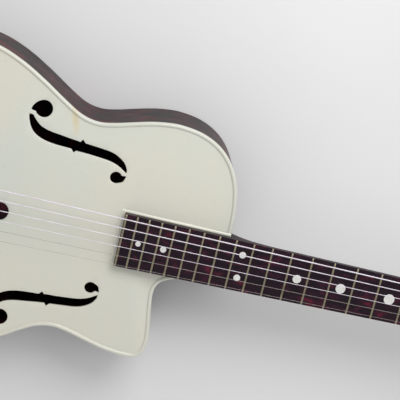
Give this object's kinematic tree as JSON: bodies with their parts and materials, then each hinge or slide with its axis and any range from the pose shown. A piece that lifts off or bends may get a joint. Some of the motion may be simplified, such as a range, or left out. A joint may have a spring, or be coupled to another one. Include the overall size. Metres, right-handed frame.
{
  "type": "archtop guitar",
  "caption": "Plastic archtop guitar with a cutaway, f-holes, floating bridge, trapeze tailpiece and geared tuning keys; strings run from the tail to the headstock.",
  "frame": {"origin": "on the flat of the back, straight below the saddle", "axes": "+X along the neck towards the headstock, +Y to the bass side, +Z out of the top"},
  "size_m": [0.9792, 0.3466, 0.1051],
  "materials": {
    "ivory_plastic": "glossy moulded ivory plastic",
    "marbled_plastic": "glossy dark maroon marbled plastic",
    "board_plastic": "dark maroon plastic with red swirls, satin from playing",
    "inner_plastic": "unpolished moulded plastic inside the body",
    "nickel": "nickel plate, a little dull",
    "fret_metal": "worn yellowish fret wire",
    "string_bronze": "wound string",
    "string_steel": "plain steel wire",
    "pearl_plastic": "off-white plastic"
  },
  "bodies": {
    "root": {"top_plate": "ivory_plastic", "rim_sides": "marbled_plastic", "back_plate": "marbled_plastic", "neck_block": "inner_plastic", "tail_block": "inner_plastic", "tone_bar_bass": "inner_plastic", "tone_bar_treble": "inner_plastic", "back_brace": "inner_plastic", "centre_button": "marbled_plastic", "neck": "marbled_plastic", "fingerboard": "board_plastic", "nut": "pearl_plastic", "bridge_base": "marbled_plastic", "tailpiece": "nickel", "tail_bracket": "nickel", "end_pin": "pearl_plastic", "headstock_face": "ivory_plastic", "tuner_plate_bass": "nickel", "tuner_plate_treble": "nickel", "fret_01": "fret_metal", "fret_02": "fret_metal", "fret_03": "fret_metal", "fret_04": "fret_metal", "fret_05": "fret_metal", "fret_06": "fret_metal", "fret_07": "fret_metal", "fret_08": "fret_metal", "fret_09": "fret_metal", "fret_10": "fret_metal", "fret_11": "fret_metal", "fret_12": "fret_metal", "fret_13": "fret_metal", "fret_14": "fret_metal", "fret_15": "fret_metal", "fret_16": "fret_metal", "fret_17": "fret_metal", "fret_18": "fret_metal", "fret_19": "fret_metal", "fret_20": "fret_metal", "string_1": "string_bronze", "string_2": "string_bronze", "string_3": "string_bronze", "string_4": "string_bronze", "string_5": "string_steel", "string_6": "string_steel"},
    "bridge_saddle": {"bridge_saddle": "marbled_plastic"},
    "thumbwheel_bass": {"thumbwheel_bass": "nickel"},
    "thumbwheel_treble": {"thumbwheel_treble": "nickel"},
    "tuner_key_1": {"tuner_key_1": "pearl_plastic"},
    "tuner_post_1": {"tuner_post_1": "nickel"},
    "tuner_key_2": {"tuner_key_2": "pearl_plastic"},
    "tuner_post_2": {"tuner_post_2": "nickel"},
    "tuner_key_3": {"tuner_key_3": "pearl_plastic"},
    "tuner_post_3": {"tuner_post_3": "nickel"},
    "tuner_key_4": {"tuner_key_4": "pearl_plastic"},
    "tuner_post_4": {"tuner_post_4": "nickel"},
    "tuner_key_5": {"tuner_key_5": "pearl_plastic"},
    "tuner_post_5": {"tuner_post_5": "nickel"},
    "tuner_key_6": {"tuner_key_6": "pearl_plastic"},
    "tuner_post_6": {"tuner_post_6": "nickel"}
  },
  "joints": [
    {"name": "saddle_height", "type": "slide", "parent": "root", "child": "bridge_saddle", "axis": [0, 0, 1], "range_m": [-0.00182, 0.00002]},
    {"name": "thumbwheel_bass_turn", "type": "hinge", "parent": "bridge_saddle", "child": "thumbwheel_bass", "pos_m": [0, 0.031, 0.094], "axis": [0, 0, 1], "range_deg": [-810, 0]},
    {"name": "thumbwheel_treble_turn", "type": "hinge", "parent": "bridge_saddle", "child": "thumbwheel_treble", "pos_m": [0, -0.031, 0.094], "axis": [0, 0, 1], "range_deg": [-812, 2]},
    {"name": "key_1_turn", "type": "hinge", "parent": "root", "child": "tuner_key_1", "pos_m": [0.68778, 0.022, 0.05987], "axis": [0, 1, 0], "continuous": true},
    {"name": "post_1_turn", "type": "hinge", "parent": "root", "child": "tuner_post_1", "pos_m": [0.68347, 0.022, 0.07981], "axis": [0.2419, 0, 0.9703], "continuous": true},
    {"name": "key_2_turn", "type": "hinge", "parent": "root", "child": "tuner_key_2", "pos_m": [0.72465, 0.022, 0.05068], "axis": [0, 1, 0], "continuous": true},
    {"name": "post_2_turn", "type": "hinge", "parent": "root", "child": "tuner_post_2", "pos_m": [0.72034, 0.022, 0.07061], "axis": [0.2419, 0, 0.9703], "continuous": true},
    {"name": "key_3_turn", "type": "hinge", "parent": "root", "child": "tuner_key_3", "pos_m": [0.76152, 0.022, 0.04149], "axis": [0, 1, 0], "continuous": true},
    {"name": "post_3_turn", "type": "hinge", "parent": "root", "child": "tuner_post_3", "pos_m": [0.75721, 0.022, 0.06142], "axis": [0.2419, 0, 0.9703], "continuous": true},
    {"name": "key_4_turn", "type": "hinge", "parent": "root", "child": "tuner_key_4", "pos_m": [0.76152, -0.022, 0.04149], "axis": [0, 1, 0], "continuous": true},
    {"name": "post_4_turn", "type": "hinge", "parent": "root", "child": "tuner_post_4", "pos_m": [0.75721, -0.022, 0.06142], "axis": [0.2419, 0, 0.9703], "continuous": true},
    {"name": "key_5_turn", "type": "hinge", "parent": "root", "child": "tuner_key_5", "pos_m": [0.72465, -0.022, 0.05068], "axis": [0, 1, 0], "continuous": true},
    {"name": "post_5_turn", "type": "hinge", "parent": "root", "child": "tuner_post_5", "pos_m": [0.72034, -0.022, 0.07061], "axis": [0.2419, 0, 0.9703], "continuous": true},
    {"name": "key_6_turn", "type": "hinge", "parent": "root", "child": "tuner_key_6", "pos_m": [0.68778, -0.022, 0.05987], "axis": [0, 1, 0], "continuous": true},
    {"name": "post_6_turn", "type": "hinge", "parent": "root", "child": "tuner_post_6", "pos_m": [0.68347, -0.022, 0.07981], "axis": [0.2419, 0, 0.9703], "continuous": true}
  ],
  "couplings": [
    {"joint": "saddle_height", "follows": "thumbwheel_bass_turn", "m_per_rad": 0.00012732},
    {"joint": "thumbwheel_treble_turn", "follows": "thumbwheel_bass_turn", "ratio": 1},
    {"joint": "post_1_turn", "follows": "key_1_turn", "ratio": -0.071429},
    {"joint": "post_2_turn", "follows": "key_2_turn", "ratio": -0.071429},
    {"joint": "post_3_turn", "follows": "key_3_turn", "ratio": -0.071429},
    {"joint": "post_4_turn", "follows": "key_4_turn", "ratio": -0.071429},
    {"joint": "post_5_turn", "follows": "key_5_turn", "ratio": -0.071429},
    {"joint": "post_6_turn", "follows": "key_6_turn", "ratio": -0.071429}
  ]
}
